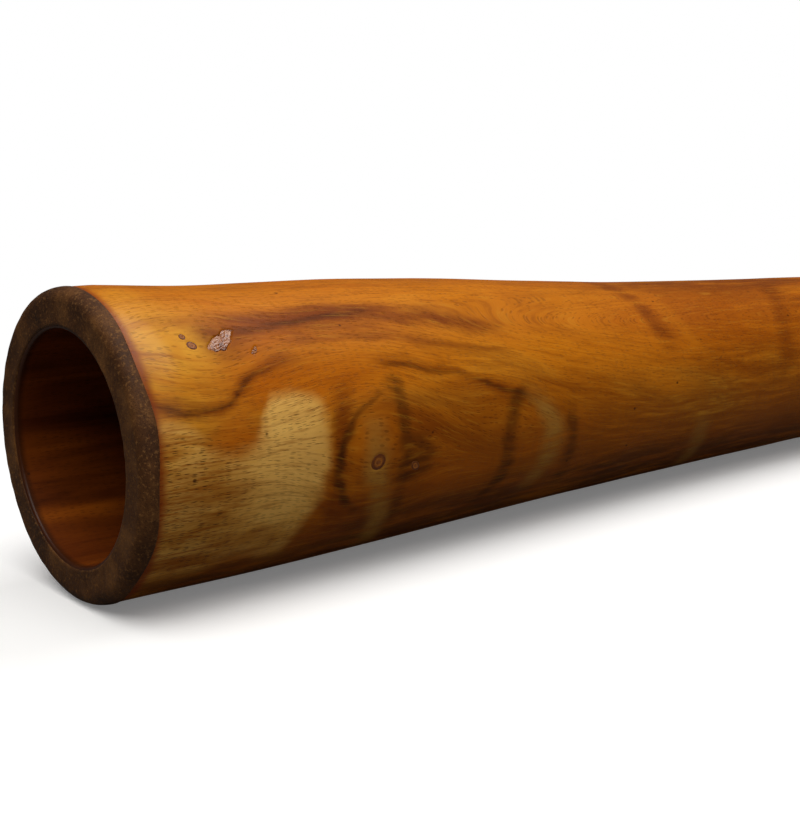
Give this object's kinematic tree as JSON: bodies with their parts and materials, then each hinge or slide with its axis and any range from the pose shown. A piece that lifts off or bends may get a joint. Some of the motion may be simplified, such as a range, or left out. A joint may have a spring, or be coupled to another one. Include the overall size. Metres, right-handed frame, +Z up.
{
  "type": "didgeridoo",
  "caption": "Straight natural-timber didgeridoo: a hollow tapering log with a flared open bell end, tight knots and a rolled beeswax mouthpiece, lying on its side.",
  "frame": {"origin": "bottom centre of the whole instrument's box, on the ground that it lies on", "axes": "+X along the log from the bell end to the blowing end, +Z up as it lies on its side, +Y completes the frame"},
  "size_m": [1.3, 0.1004, 0.1007],
  "materials": {
    "trunk_wood": "varnished, orange-brown with pale sapwood patches",
    "end_seal": "near-matte dark brown coat over end grain",
    "beeswax": "satin beeswax",
    "knot_wood": "varnished, dark",
    "resin": "glossy clear resin over a dark pocket"
  },
  "bodies": {
    "root": {"trunk": "trunk_wood", "bell_end_seal": "end_seal", "wax_mouthpiece": "beeswax", "pin_knots": "knot_wood", "side_knots": "knot_wood", "resin_fill": "resin"}
  },
  "joints": []
}
